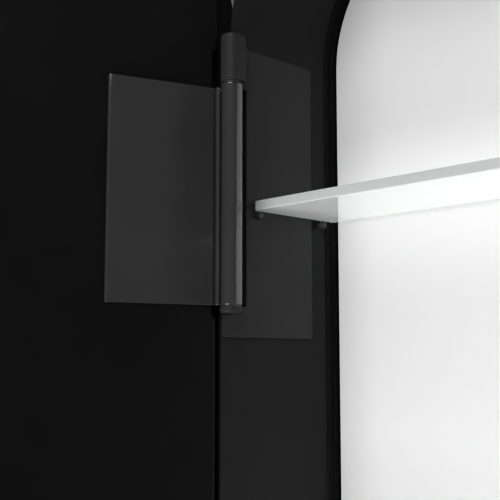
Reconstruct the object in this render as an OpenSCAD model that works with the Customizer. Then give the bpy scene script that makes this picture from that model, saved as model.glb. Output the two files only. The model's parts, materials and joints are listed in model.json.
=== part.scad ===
// Surface-mounted medicine cabinet: rounded steel case, mirrored overlay door
// on two barrel hinges, three glass shelves on pegs.
// Origin: centre of the back face that meets the wall.
// +X right, +Y into the wall, +Z up. The front faces -Y.

/* [Case] */
// Outer width of the case
case_w = 508; // [460:1:560]
// Outer height of the case
case_h = 711; // [690:1:760]
// Depth of the case from the wall to its front rim
case_d = 91; // [90:0.5:110]
// Radius of the case's four outer corners
corner_r = 81; // [74:0.5:82]
// Thickness of the side band and the back sheet
sheet_t = 1.5; // [1.2:0.1:1.6]
// Width of the inward lips along the top and bottom of the rim
lip_w = 7; // [6:0.5:8]
// How far the rim is cut back round each corner, for fingers behind the door
finger_cut = 7; // [0.5:0.5:12]

/* [Back panel] */
// Thickness of the light panel inside the back
liner_t = 4; // [3:0.5:4]
// Width of the black bead between the panel and the side band
bead_w = 4.4; // [4:0.1:5]

/* [Wall mounting] */
// Spacing of the wall bolts across
bolt_span_x = 200; // [160:10:240]
// Spacing of the wall bolts up and down
bolt_span_z = 460; // [420:10:500]
// Radius of each wall bolt hole
bolt_hole_r = 3.25; // [3:0.25:4]

/* [Hinges] */
// How far the door stands open at rest, in degrees
door_open = 108; // [90:1:110]
// Height of each hinge's middle above and below the centre
hinge_mid_z = 195; // [190:1:198]
// Radius of the hinge barrel
barrel_r = 5.6; // [5.4:0.1:5.9]
// Radius of the hinge pin
pin_r = 3.25; // [3:0.25:3.5]
// Reach of the door leaf from the hinge axis
door_leaf_w = 64; // [50:0.2:70]
// Depth of the wall leaf along the side band
wall_leaf_w = 66; // [50:1:66]
// Thickness of both leaves
leaf_t = 1.6; // [1.4:0.2:2]

/* [Shelves] */
// Thickness of the glass
glass_t = 5; // [4:0.5:6]
// Depth of each shelf from front to back
shelf_d = 63; // [50:1:64]
// Height of the outer shelves above and below the middle one
shelf_pitch = 185; // [180:1:188]
// Radius of each shelf peg
peg_r = 1.6; // [1.5:0.1:2]

/* [Door] */
// Radius of the door's four corners
door_corner_r = 75; // [72:0.5:82]
// Thickness of the mirror
mirror_t = 4; // [3:0.5:4]
// Width of the frame that shows round the mirror
frame_w = 8; // [7:0.5:10]

/* [Hidden] */
$fn = 96;
eps = 0.01;

// Case
half_w = case_w / 2;
half_h = case_h / 2;
inner_x = half_w - sheet_t;
rim_y = -case_d;
liner_y = -sheet_t - liner_t;
lip_t = sheet_t;
lip_half = half_w - corner_r - 4;
cut_z = half_h - corner_r - 2.5;
cut_x = half_w - corner_r;

// Bead: a low ring beside the panel with a thin leg up the side band
bead_proud = 1;
bead_leg_t = 0.8;
bead_leg_h = 5.5;

// Wall bolts: the panel is drilled wider so that a bolt head sits on the steel
head_hole_r = 8;

// Hinge axis: beside the band's inner face, just behind the front rim
hinge_x = -inner_x + barrel_r + 0.8;
hinge_y = rim_y + 1;
hinge_zs = [hinge_mid_z, -hinge_mid_z];

// Heights along a hinge, from its middle
wall_leaf_h = 152;
wall_leaf_back = 0.2;
door_leaf_top = 50;
knuckle_low = -60.3;
knuckle_seam = 52.4;
upper_low = 53.7;
upper_top = 78.8;
washer_t = 0.7;
running_gap = 0.3;
cap_low = -64.4;
cap_h = 3;
edge_round = 2;

// Fits along the pin
pin_fit = 0.05;
seat_fit = 0.02;
bush_r = 4.5;
bush_len = 15;
washer_r = barrel_r - 0.4;
relief_r = barrel_r + 0.5;

// The wall leaf is cut back beside the turning knuckle, and its own knuckle is a
// block with a round front
cut_reach = 15;
block_reach = 5.2;
block_top = 77.6;

// Door, closed: heights of its layers in front of the wall
leaf_face_y = hinge_y - 2;
door_face_y = leaf_face_y - leaf_t;
tray_t = 1.2;
tray_d = 9.5;
frame_back_y = door_face_y - tray_d;
ledge_t = 2.5;
frame_t = ledge_t + mirror_t + 1.5;
ledge_w = 18;
layer_gap = 0.2;
tray_start = 6.6;
notch_start = 8.4;
notch_low = -66;
notch_high = 71;
tray_right = 250;
tray_top = half_h - 4;
tray_r = door_corner_r - 11;

// Shelves
shelf_half_w = inner_x - leaf_t - 0.5;
shelf_back_y = liner_y - 2;
shelf_front_y = shelf_back_y - shelf_d;
shelf_zs = [shelf_pitch, 0, -shelf_pitch];
shelf_corner_r = 2.5;
sleeve_t = 0.5;
peg_in = 5;
peg_drop = 0.3 + sleeve_t + peg_r;
peg_ys = [shelf_front_y + 3, shelf_back_y - 10];

// Catch, on the right wall between the upper and middle shelves
catch_z = 60;
catch_h = 40;
catch_w = 13;
catch_d = 15;
catch_front_y = rim_y + 2.5;
magnet_w = 7;
magnet_h = 26;
magnet_t = 5;
magnet_proud = 3;
strike_t = 1.3;
strike_w = 13;
strike_h = 36;
screw_r = 1.5;
screw_head_r = 2.8;
bumper_r = 2.8;
bumper_t = 2.4;
bumper_x = 150;
bumper_z = half_h - 7.5;

// ---- Outlines and placing -------------------------------------------------

// Rounded rectangle between two corners, with one radius
module rounded_box(x0, x1, y0, y1, r) {
    translate([x0 + r, y0]) square([x1 - x0 - 2 * r, y1 - y0]);
    translate([x0, y0 + r]) square([x1 - x0, y1 - y0 - 2 * r]);
    for (x = [x0 + r, x1 - r], y = [y0 + r, y1 - r])
        translate([x, y]) circle(r);
}

// The case outline, moved inwards by the inset
module case_outline(inset = 0) {
    rounded_box(-half_w + inset, half_w - inset, -half_h + inset, half_h - inset,
                corner_r - inset);
}

// The door outline, moved inwards by the inset
module door_outline(inset = 0) {
    rounded_box(-half_w + inset, half_w - inset, -half_h + inset, half_h - inset,
                door_corner_r - inset);
}

// Outline drawn upright in X and Z, from y = back towards the front by t
module upright(back, t) {
    translate([0, back, 0]) rotate([90, 0, 0]) linear_extrude(t) children();
}

// Cylinder along Y, from y = back towards the front by t
module rod_y(x, back, z, r, t) {
    translate([x, back, z]) rotate([90, 0, 0]) cylinder(r = r, h = t, $fn = 48);
}

// Cylinder along the hinge axis between two heights
module on_axis(low, high, r) {
    translate([hinge_x, hinge_y, low]) cylinder(r = r, h = high - low);
}

// Turns the closed door to where it rests, open
module door_at_rest() {
    translate([hinge_x, hinge_y, 0]) rotate([0, 0, -door_open])
        translate([-hinge_x, -hinge_y, 0]) children();
}

// ---- Case -----------------------------------------------------------------

module side_band() {
    color("#1b1c1d") difference() {
        upright(0, case_d) difference() {
            case_outline();
            case_outline(sheet_t);
        }
        for (z = shelf_zs) peg_holes(z);
        for (side = [-1, 1], end = [-1, 1]) finger_gap(side, end);
    }
}

// What is cut off the rim at one corner
module finger_gap(side, end) {
    translate([side > 0 ? cut_x : -cut_x - corner_r - 1, rim_y - 1,
               end > 0 ? cut_z : -cut_z - corner_r - 10])
        cube([corner_r + 1, finger_cut + 1, corner_r + 10]);
}

// Holes through both walls for the four pegs of one shelf
module peg_holes(z) {
    for (y = peg_ys)
        translate([-case_w, y, z - peg_drop]) rotate([0, 90, 0])
            cylinder(r = peg_r + pin_fit, h = 2 * case_w, $fn = 48);
}

module bolt_holes(r) {
    for (x = [-1, 1] * bolt_span_x / 2, z = [-1, 1] * bolt_span_z / 2)
        rod_y(x, case_d, z, r, 2 * case_d);
}

module back_pan() {
    color("#222324") difference() {
        upright(0, sheet_t) case_outline(sheet_t);
        bolt_holes(bolt_hole_r);
    }
}

module back_liner() {
    color("#dfe1e2") difference() {
        upright(-sheet_t, liner_t) case_outline(sheet_t + bead_w);
        bolt_holes(head_hole_r);
    }
}

module liner_bead() {
    color("#161718") {
        upright(-sheet_t, liner_t + bead_proud) difference() {
            case_outline(sheet_t);
            case_outline(sheet_t + bead_w);
        }
        upright(-sheet_t, liner_t + bead_proud + bead_leg_h) difference() {
            case_outline(sheet_t);
            case_outline(sheet_t + bead_leg_t);
        }
    }
}

// Lip along one straight end of the rim: side is 1 for the top, -1 for the bottom
module rim_lip(side) {
    inner = half_h - sheet_t - lip_w;
    color("#1f2021") upright(rim_y + lip_t, lip_t)
        translate([-lip_half, side > 0 ? inner : -inner - lip_w]) square([2 * lip_half, lip_w]);
}

// ---- Hinges ---------------------------------------------------------------

// Solid of revolution on the hinge axis with one rounded rim: at the top when
// side is 1, at the bottom when side is -1
module rounded_barrel(low, high, side) {
    rim = side > 0 ? high - edge_round : low + edge_round;
    plain = side > 0 ? [low, rim] : [rim, high];
    translate([hinge_x, hinge_y, 0]) rotate_extrude() {
        translate([0, plain[0]]) square([barrel_r, plain[1] - plain[0]]);
        translate([0, low]) square([barrel_r - edge_round, high - low]);
        intersection() {
            translate([barrel_r - edge_round, rim]) circle(edge_round, $fn = 48);
            translate([0, low]) square([barrel_r, high - low]);
        }
    }
}

module hinge_wall_leaf(z) {
    color("#2c2d2e") translate([0, 0, z]) difference() {
        union() {
            translate([-inner_x, rim_y + wall_leaf_back, -wall_leaf_h / 2])
                cube([leaf_t, wall_leaf_w, wall_leaf_h]);
            rounded_barrel(upper_low, upper_top, 1);
            translate([-inner_x, hinge_y, upper_low])
                cube([hinge_x + barrel_r + inner_x, block_reach, block_top - upper_low]);
        }
        translate([-inner_x - 1, rim_y, knuckle_low - running_gap])
            cube([leaf_t + 2, hinge_y + cut_reach - rim_y, upper_low - knuckle_low + running_gap]);
        on_axis(cap_low - running_gap, upper_low, relief_r);
        on_axis(upper_low - eps, upper_top - 3, pin_r + seat_fit);
        for (shelf = shelf_zs) translate([0, 0, -z]) peg_holes(shelf);
    }
}

module hinge_door_leaf(z) {
    color("#303132") door_at_rest() translate([0, 0, z]) difference() {
        union() {
            on_axis(knuckle_low, knuckle_seam, barrel_r);
            translate([hinge_x, door_face_y, knuckle_low])
                cube([door_leaf_w, leaf_t, door_leaf_top - knuckle_low]);
        }
        on_axis(knuckle_low - eps, knuckle_seam + eps, bush_r + seat_fit);
    }
}

module hinge_pins() {
    color("#8d8f91") for (z = hinge_zs) translate([0, 0, z])
        on_axis(cap_low + 1, upper_top - 3.5, pin_r);
}

module hinge_washers() {
    color("#1c1c1d") for (z = hinge_zs) translate([0, 0, z])
        for (low = [knuckle_seam + running_gap, knuckle_low - running_gap - washer_t])
            difference() {
                on_axis(low, low + washer_t, washer_r);
                on_axis(low - 1, low + 2, pin_r + pin_fit);
            }
}

module hinge_caps() {
    color("#262728") for (z = hinge_zs) translate([0, 0, z]) difference() {
        rounded_barrel(cap_low, cap_low + cap_h, -1);
        on_axis(cap_low + 1 - seat_fit, cap_low + cap_h + 1, pin_r + seat_fit);
    }
}

module hinge_bushes() {
    color("#c9cac6") door_at_rest() for (z = hinge_zs) translate([0, 0, z])
        for (low = [knuckle_low, knuckle_seam - bush_len]) difference() {
            on_axis(low, low + bush_len, bush_r);
            on_axis(low - 1, low + bush_len + 1, pin_r + pin_fit);
        }
}

// ---- Magnetic catch -------------------------------------------------------

catch_x0 = inner_x - catch_w;
catch_screw_zs = [catch_z - 16.5, catch_z + 16.5];

module catch_body() {
    color("#1d1e1f") difference() {
        translate([catch_x0, catch_front_y, catch_z - catch_h / 2])
            cube([catch_w, catch_d, catch_h]);
        translate([catch_x0 + 3, catch_front_y - 1, catch_z - magnet_h / 2])
            cube([magnet_w, magnet_t + 1, magnet_h]);
        for (z = catch_screw_zs)
            translate([catch_x0 - 1, catch_front_y + 9, z]) rotate([0, 90, 0])
                cylinder(r = screw_r + pin_fit, h = catch_w + 2, $fn = 48);
    }
}

module catch_magnet() {
    color("#6f7173")
        translate([catch_x0 + 3.2, catch_front_y - magnet_proud + 0.2, catch_z - magnet_h / 2 + 0.2])
            cube([magnet_w - 0.4, magnet_t + magnet_proud - 0.4, magnet_h - 0.4]);
}

module catch_screws() {
    color("#a9abad") for (z = catch_screw_zs)
        translate([catch_x0, catch_front_y + 9, z]) rotate([0, 90, 0]) {
            cylinder(r = screw_r, h = catch_w - 0.2, $fn = 48);
            translate([0, 0, -1.6]) cylinder(r = screw_head_r, h = 1.6, $fn = 48);
        }
}

// ---- Shelves --------------------------------------------------------------

// Peg pressed into the band and reaching inwards, one in each wall
module shelf_peg(y, z) {
    for (side = [-1, 1]) translate([side * (inner_x - peg_in), y, z])
        rotate([0, side * 90, 0]) cylinder(r = peg_r, h = peg_in + sheet_t - 0.2, $fn = 48);
}

module shelf_pegs(z) {
    color("#2a2b2c") for (y = peg_ys) shelf_peg(y, z - peg_drop);
}

module peg_sleeves(z) {
    color("#1e1e1f") for (y = peg_ys, side = [-1, 1])
        translate([side * (inner_x - peg_in), y, z - peg_drop]) rotate([0, side * 90, 0])
            difference() {
                cylinder(r = peg_r + sleeve_t, h = peg_in - leaf_t - 0.4, $fn = 48);
                translate([0, 0, -1]) cylinder(r = peg_r + pin_fit, h = peg_in + 1, $fn = 48);
            }
}

module glass_shelf(z) {
    color([0.78, 0.86, 0.84, 0.6]) translate([0, 0, z]) linear_extrude(glass_t)
        rounded_box(-shelf_half_w, shelf_half_w, shelf_front_y, shelf_back_y, shelf_corner_r);
}

// ---- Door -----------------------------------------------------------------

module door_frame() {
    color("#1a1b1c") door_at_rest() {
        upright(frame_back_y, ledge_t) difference() {
            door_outline();
            door_outline(ledge_w);
        }
        upright(frame_back_y - ledge_t, frame_t - ledge_t) difference() {
            door_outline();
            door_outline(frame_w);
        }
    }
}

module door_mirror() {
    color("#cfd4d6") door_at_rest()
        upright(frame_back_y - ledge_t - layer_gap, mirror_t) door_outline(frame_w + layer_gap);
}

module mirror_backing() {
    color("#8a7a63") door_at_rest()
        upright(frame_back_y - layer_gap, ledge_t - layer_gap) door_outline(ledge_w + layer_gap);
}

// Outline of the tray, moved inwards by the inset, with a notch beside each hinge
module tray_outline(inset = 0) {
    difference() {
        rounded_box(hinge_x + tray_start + inset, tray_right - inset,
                    -tray_top + inset, tray_top - inset, tray_r - inset);
        for (z = hinge_zs)
            translate([hinge_x, z + notch_low - inset])
                square([notch_start + inset, notch_high - notch_low + 2 * inset]);
    }
}

module door_pan() {
    color("#141516") door_at_rest() {
        upright(door_face_y, tray_t) tray_outline();
        upright(door_face_y - tray_t, tray_d - tray_t) difference() {
            tray_outline();
            tray_outline(tray_t);
        }
    }
}

module door_core() {
    color("#b8ad98") door_at_rest()
        upright(door_face_y - tray_t - layer_gap, tray_d - tray_t - 2 * layer_gap)
            tray_outline(tray_t + layer_gap);
}

strike_x = catch_x0 + 6.5;
strike_screw_zs = [catch_z - 14, catch_z + 14];

module strike_plate() {
    color("#9ea1a3") door_at_rest() difference() {
        translate([strike_x - strike_w / 2, door_face_y, catch_z - strike_h / 2])
            cube([strike_w, strike_t, strike_h]);
        for (z = strike_screw_zs) rod_y(strike_x, rim_y + 1, z, screw_r + pin_fit, 10);
    }
}

module strike_screws() {
    color("#a9abad") door_at_rest() for (z = strike_screw_zs) {
        rod_y(strike_x, door_face_y + strike_t, z, screw_r, strike_t - 0.1);
        rod_y(strike_x, door_face_y + strike_t + 0.5, z, screw_head_r, 0.5);
    }
}

module door_bumpers() {
    color("#2b2b2b") door_at_rest() for (x = [-1, 1] * bumper_x, z = [-1, 1] * bumper_z)
        rod_y(x, door_face_y + bumper_t, z, bumper_r, bumper_t);
}

// ---- Nodes ----------------------------------------------------------------

side_band();
back_pan();
back_liner();
liner_bead();
rim_lip(1);  // top_lip
rim_lip(-1);  // bottom_lip
hinge_wall_leaf(hinge_zs[0]);  // hinge_wall_leaf_upper
hinge_wall_leaf(hinge_zs[1]);  // hinge_wall_leaf_lower
hinge_pins();
hinge_washers();
hinge_caps();
catch_body();
catch_magnet();
catch_screws();
shelf_pegs(shelf_zs[0]);  // shelf_pegs_upper
shelf_pegs(shelf_zs[1]);  // shelf_pegs_middle
shelf_pegs(shelf_zs[2]);  // shelf_pegs_lower
peg_sleeves(shelf_zs[0]);  // peg_sleeves_upper
peg_sleeves(shelf_zs[1]);  // peg_sleeves_middle
peg_sleeves(shelf_zs[2]);  // peg_sleeves_lower
glass_shelf(shelf_zs[0]);  // shelf_upper
glass_shelf(shelf_zs[1]);  // shelf_middle
glass_shelf(shelf_zs[2]);  // shelf_lower
door_frame();
door_mirror();
mirror_backing();
door_core();
door_pan();
hinge_door_leaf(hinge_zs[0]);  // hinge_door_leaf_upper
hinge_door_leaf(hinge_zs[1]);  // hinge_door_leaf_lower
hinge_bushes();
strike_plate();
strike_screws();
door_bumpers();
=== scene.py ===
"""Looks of a surface-mounted medicine cabinet with a mirrored door.

Every size is in metres, in the part's own frame: origin at the centre of the back
face, +X right, +Y into the wall, +Z up. The door is drawn closed and then turned about
its hinges to where it rests, open.
"""

import json
import logging
import math
from dataclasses import dataclass, field
from enum import Enum
from typing import Callable, Sequence

import bmesh
import bpy
import numpy as np
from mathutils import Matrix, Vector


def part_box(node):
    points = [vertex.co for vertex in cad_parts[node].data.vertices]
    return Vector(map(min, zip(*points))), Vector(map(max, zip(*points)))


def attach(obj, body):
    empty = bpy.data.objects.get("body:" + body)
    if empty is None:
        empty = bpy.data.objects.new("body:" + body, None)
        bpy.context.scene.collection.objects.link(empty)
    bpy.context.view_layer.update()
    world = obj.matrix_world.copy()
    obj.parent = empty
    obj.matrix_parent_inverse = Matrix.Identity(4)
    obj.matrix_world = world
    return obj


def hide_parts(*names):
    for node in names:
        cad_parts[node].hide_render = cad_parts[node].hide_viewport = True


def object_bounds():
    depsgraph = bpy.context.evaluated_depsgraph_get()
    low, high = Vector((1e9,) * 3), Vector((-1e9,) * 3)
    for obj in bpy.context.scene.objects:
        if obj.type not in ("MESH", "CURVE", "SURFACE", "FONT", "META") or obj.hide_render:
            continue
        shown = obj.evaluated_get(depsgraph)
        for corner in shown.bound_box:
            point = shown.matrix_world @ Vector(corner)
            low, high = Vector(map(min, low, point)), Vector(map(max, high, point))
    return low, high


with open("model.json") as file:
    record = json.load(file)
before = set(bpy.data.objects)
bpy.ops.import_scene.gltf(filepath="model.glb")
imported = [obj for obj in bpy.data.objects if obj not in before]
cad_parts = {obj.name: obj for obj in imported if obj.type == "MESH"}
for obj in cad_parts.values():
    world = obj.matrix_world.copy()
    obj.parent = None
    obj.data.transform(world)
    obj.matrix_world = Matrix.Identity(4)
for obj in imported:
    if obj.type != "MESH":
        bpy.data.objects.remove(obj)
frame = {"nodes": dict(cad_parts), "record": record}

log = logging.getLogger("cabinet")

Colour = tuple[float, float, float]
Pair = tuple[float, float]
Point = tuple[float, float, float]
Placer = Callable[[np.ndarray, np.ndarray, np.ndarray], np.ndarray]
Socket = bpy.types.NodeSocket

MM = 0.001
SHARP_FROM = math.radians(38.0)
CAD_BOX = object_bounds()


class Body(Enum):
    """The bodies that move on their own."""

    CABINET = "cabinet"
    DOOR = "door"
    SHELF_UPPER = "shelf_upper"
    SHELF_MIDDLE = "shelf_middle"
    SHELF_LOWER = "shelf_lower"


class Grain(Enum):
    """How a metal surface was finished."""

    BRUSHED = "brushed"
    GROUND = "ground"
    PLATED = "plated"


# ---------------------------------------------------------------- frame readings


def low_high(node: str) -> tuple[np.ndarray, np.ndarray]:
    """The lowest and highest corners of a CAD node at rest."""
    low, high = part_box(node)
    return np.array(low, dtype=float), np.array(high, dtype=float)


def joint_named(name: str) -> dict:
    """The record's entry for a joint."""
    joints = frame["record"]["behaviour"]["joints"]
    return next(joint for joint in joints if joint["name"] == name)


# ---------------------------------------------------------------- outlines


@dataclass
class Outline:
    """A flat line with the direction that points out of it at each of its points."""

    points: np.ndarray
    normals: np.ndarray

    def moved_in(self, distance: float) -> np.ndarray:
        """Each point moved against its outward direction by the distance."""
        return self.points - distance * self.normals


def rounded_box(low: Pair, high: Pair, radius: float, steps: int = 20) -> Outline:
    """A rectangle whose corners are quarter circles.

    Each corner's points are its circle's centre plus the radius times (cos, sin) of an
    angle that runs a quarter turn, and the straight sides join one corner to the next.

    Args:
        low: The rectangle's lowest corner.
        high: The rectangle's highest corner.
        radius: The corners' radius.
        steps: How many pieces each quarter circle has.

    Returns:
        The outline, counterclockwise from the right side.
    """
    angles = np.linspace(0.0, math.pi / 2, steps + 1)[None, :] + np.arange(4)[:, None] * math.pi / 2
    x_mid = np.array([high[0] - radius, low[0] + radius, low[0] + radius, high[0] - radius])
    y_mid = np.array([high[1] - radius, high[1] - radius, low[1] + radius, low[1] + radius])
    normals = np.stack([np.cos(angles), np.sin(angles)], axis=-1)
    points = np.stack([x_mid, y_mid], axis=-1)[:, None, :] + radius * normals
    return Outline(points.reshape(-1, 2), normals.reshape(-1, 2))


def rounded_section(
    corners: Sequence[Pair],
    radii: Sequence[float],
    steps: int = 5,
    closed: bool = True,
    support: float = 0.4 * MM,
) -> np.ndarray:
    """A polygon whose corners are eased into short curves.

    Each corner C gives way to the curve (1-t)^2 A + 2t(1-t) C + t^2 B, where A and B lie
    on its two sides, a radius away, with one more point just past each of them, which
    keeps the flat sides flat in shading.

    Args:
        corners: The polygon's corners.
        radii: How far from each corner its curve starts.
        steps: How many pieces each curve has.
        closed: Whether the last corner joins the first. An open line keeps its ends.
        support: How far past each curve the extra point lies.

    Returns:
        The points, one row each.
    """
    spots = np.array(corners, dtype=float)
    reach = np.array(radii, dtype=float)[:, None]
    back = np.roll(spots, 1, axis=0) - spots
    ahead = np.roll(spots, -1, axis=0) - spots
    back /= np.linalg.norm(back, axis=1, keepdims=True)
    ahead /= np.linalg.norm(ahead, axis=1, keepdims=True)
    t = np.linspace(0.0, 1.0, steps + 1)[None, :, None]
    start = (spots + back * reach)[:, None, :]
    end = (spots + ahead * reach)[:, None, :]
    bend = (1 - t) ** 2 * start + 2 * t * (1 - t) * spots[:, None, :] + t**2 * end
    before = (spots + back * (reach + support))[:, None, :]
    after = (spots + ahead * (reach + support))[:, None, :]
    rows = np.concatenate([before, bend, after], axis=1)
    if closed:
        return rows.reshape(-1, 2)
    return np.vstack([spots[:1], rows[1:-1].reshape(-1, 2), spots[-1:]])


def outlined(points: np.ndarray) -> Outline:
    """Any closed line as an outline.

    The outward direction is the line's own direction, taken between each point's two
    neighbours, turned a quarter turn clockwise on a line that runs counterclockwise.

    Args:
        points: The line's points, in either direction.

    Returns:
        The outline, counterclockwise.
    """
    x, y = points[:, 0], points[:, 1]
    area = 0.5 * np.sum(x * np.roll(y, -1) - np.roll(x, -1) * y)
    line = points if area > 0 else points[::-1]
    along = np.roll(line, -1, axis=0) - np.roll(line, 1, axis=0)
    along /= np.linalg.norm(along, axis=1, keepdims=True)
    return Outline(line, np.stack([along[:, 1], -along[:, 0]], axis=-1))


def with_more_points(outline: Outline, distances: np.ndarray) -> Outline:
    """The same closed outline with more points near the ends of its straight sides.

    Every point has a length along the outline. The new lengths lie at the distances from
    both ends of each straight side, and points and directions are read off by length.

    Args:
        outline: The closed outline.
        distances: How far from a straight side's ends the new points lie.

    Returns:
        The finer outline.
    """
    points = np.vstack([outline.points, outline.points[:1]])
    normals = np.vstack([outline.normals, outline.normals[:1]])
    steps = np.linalg.norm(np.diff(points, axis=0), axis=1)
    length = np.concatenate([[0.0], np.cumsum(steps)])
    straight = steps > 2 * distances.max()
    extra = [length[:-1][straight][:, None] + distances, length[1:][straight][:, None] - distances]
    at = np.union1d(length[:-1], np.concatenate(extra).ravel())
    read = [np.interp(at, length, column) for column in (*points.T, *normals.T)]
    return Outline(np.stack(read[:2], axis=-1), np.stack(read[2:], axis=-1))


def smooth_step(distance: np.ndarray, width: float) -> np.ndarray:
    """0 below minus half the width, 1 above half of it, and t^2 (3 - 2t) between them."""
    t = np.clip(distance / width + 0.5, 0.0, 1.0)
    return t**2 * (3 - 2 * t)


def eased_polygon(corners: Sequence[Pair], radius: float) -> Outline:
    """A closed polygon with all its corners eased by one radius."""
    return outlined(rounded_section(corners, [radius] * len(corners)))


# ---------------------------------------------------------------- placing


def upright(a: np.ndarray, b: np.ndarray, depth: np.ndarray) -> np.ndarray:
    """An outline in X and Z, with its depth along Y."""
    return np.stack([a, depth, b], axis=-1)


def level(a: np.ndarray, b: np.ndarray, depth: np.ndarray) -> np.ndarray:
    """An outline in X and Y, with its depth along Z."""
    return np.stack([a, b, depth], axis=-1)


def sideways(a: np.ndarray, b: np.ndarray, depth: np.ndarray) -> np.ndarray:
    """An outline in Y and Z, with its depth along X."""
    return np.stack([depth, a, b], axis=-1)


@dataclass
class DoorTurn:
    """The turn that takes the closed door to where it rests."""

    x: float
    y: float
    degrees: float

    @property
    def axis(self) -> Pair:
        """Where the hinge axis crosses a level plane."""
        return (self.x, self.y)

    def __call__(self, points: np.ndarray) -> np.ndarray:
        """The points turned clockwise, seen from above, about the hinge axis."""
        angle = -math.radians(self.degrees)
        dx = points[..., 0] - self.x
        dy = points[..., 1] - self.y
        out = points.copy()
        out[..., 0] = self.x + dx * math.cos(angle) - dy * math.sin(angle)
        out[..., 1] = self.y + dx * math.sin(angle) + dy * math.cos(angle)
        return out


# ---------------------------------------------------------------- meshes


class Shell:
    """Gathers surfaces worked out on grids and makes them one mesh."""

    def __init__(self, move: Callable[[np.ndarray], np.ndarray] | None = None) -> None:
        """Starts empty, with an optional move for every point."""
        self.move = move
        self.points: list[np.ndarray] = []
        self.faces: list[list[int]] = []
        self.count = 0

    def add_points(self, points: np.ndarray) -> int:
        """Keeps the points and returns the number of the first."""
        flat = points.reshape(-1, 3)
        self.points.append(self.move(flat) if self.move else flat)
        first = self.count
        self.count += len(flat)
        return first

    def grid(self, points: np.ndarray, wrap_rows: bool = False, wrap_columns: bool = False) -> None:
        """Adds a surface of four-sided faces.

        Args:
            points: The grid's points, rows by columns by three.
            wrap_rows: Whether the last row joins the first.
            wrap_columns: Whether the last column joins the first.
        """
        rows, columns = points.shape[:2]
        number = self.add_points(points) + np.arange(rows * columns).reshape(rows, columns)
        if wrap_rows:
            number = np.vstack([number, number[:1]])
        if wrap_columns:
            number = np.hstack([number, number[:, :1]])
        quads = np.stack(
            [number[:-1, :-1], number[:-1, 1:], number[1:, 1:], number[1:, :-1]], axis=-1
        )
        self.faces.extend(quads.reshape(-1, 4).tolist())

    def lid(self, points: np.ndarray) -> None:
        """Adds one flat face over a closed line of points."""
        first = self.add_points(points)
        self.faces.append(list(range(first, first + len(points))))

    def build(self, name: str) -> bpy.types.Object:
        """Makes the object.

        Args:
            name: The object's name.

        Returns:
            The new object, in the scene and at the origin.
        """
        mesh = bpy.data.meshes.new(name)
        mesh.from_pydata(np.vstack(self.points).tolist(), [], self.faces)
        work = bmesh.new()
        work.from_mesh(mesh)
        bmesh.ops.remove_doubles(work, verts=work.verts, dist=0.002 * MM)
        bmesh.ops.dissolve_degenerate(work, edges=work.edges, dist=0.001 * MM)
        bmesh.ops.recalc_face_normals(work, faces=work.faces)
        work.to_mesh(mesh)
        work.free()
        mesh.polygons.foreach_set("use_smooth", np.ones(len(mesh.polygons), dtype=bool))
        mesh.set_sharp_from_angle(angle=SHARP_FROM)
        mesh.update()
        piece = bpy.data.objects.new(name, mesh)
        bpy.context.scene.collection.objects.link(piece)
        return piece


def add_plate(
    shell: Shell, outline: Outline, low: float, high: float, ease: float, place: Placer, steps: int = 4
) -> None:
    """A flat plate with eased edges.

    Near each face the outline moves in by ease * (1 - sin a) while the depth moves by
    ease * (1 - cos a), as a goes from nothing to a quarter turn, and one more line just
    inside each face keeps the face flat in shading.

    Args:
        shell: Where the plate goes.
        outline: The plate's outline.
        low: The depth of one face.
        high: The depth of the other face.
        ease: The radius along the edges of both faces.
        place: Puts outline and depth into space.
        steps: How many pieces each eased edge has.
    """
    a = np.linspace(0.0, math.pi / 2, steps + 1)
    moved_in = np.concatenate([[1.25 * ease], ease * (1 - np.sin(a))])
    depth = np.concatenate([[0.0], ease * (1 - np.cos(a))])
    insets = np.concatenate([moved_in, moved_in[::-1]])
    depths = np.concatenate([low + depth, (high - depth)[::-1]])
    add_carried(shell, outline, np.column_stack([insets, depths]), place, ring=False)


def add_carried(
    shell: Shell,
    outline: Outline,
    section: np.ndarray,
    place: Placer,
    ring: bool = True,
    cut_back: np.ndarray | None = None,
) -> None:
    """A section carried along a closed outline.

    Every point of the section is an inset and a depth. The point lies at the outline
    moved in by the inset, at that depth.

    Args:
        shell: Where the surface goes.
        outline: The path.
        section: The section's points.
        place: Puts outline and depth into space.
        ring: Whether the section closes on itself. An open one is closed by two lids.
        cut_back: How far the section's front half moves back at each outline point.
    """
    flat = outline.points[None] - section[:, 0, None, None] * outline.normals[None]
    deep = np.broadcast_to(section[:, 1, None], flat.shape[:2])
    if cut_back is not None:
        in_front = section[:, 1] < section[:, 1].mean()
        deep = deep + in_front[:, None] * cut_back[None]
    solid = place(flat[..., 0], flat[..., 1], deep)
    shell.grid(solid, wrap_rows=ring, wrap_columns=True)
    if not ring:
        shell.lid(solid[0])
        shell.lid(solid[-1])


def add_turned(shell: Shell, profile: np.ndarray, centre: Pair, place: Placer, steps: int = 64) -> None:
    """A profile of radius and height turned about an axis through the centre.

    The point at radius r, height h and angle a lies at the centre plus r (cos a, sin a),
    at height h. A profile that starts and ends on the axis closes in a pole at each end.

    Args:
        shell: Where the surface goes.
        profile: Radius and height of each point.
        centre: Where the axis crosses the plane of the outline.
        place: Puts the plane and the height into space.
        steps: How many pieces a full turn has.
    """
    a = np.linspace(0.0, 2 * math.pi, steps, endpoint=False)[None]
    radius, height = profile[:, :1], profile[:, 1:]
    solid = place(
        centre[0] + radius * np.cos(a),
        centre[1] + radius * np.sin(a),
        np.broadcast_to(height, (len(profile), steps)),
    )
    closed = bool(profile[0, 0] > 0)
    shell.grid(solid, wrap_rows=closed, wrap_columns=True)


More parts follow.
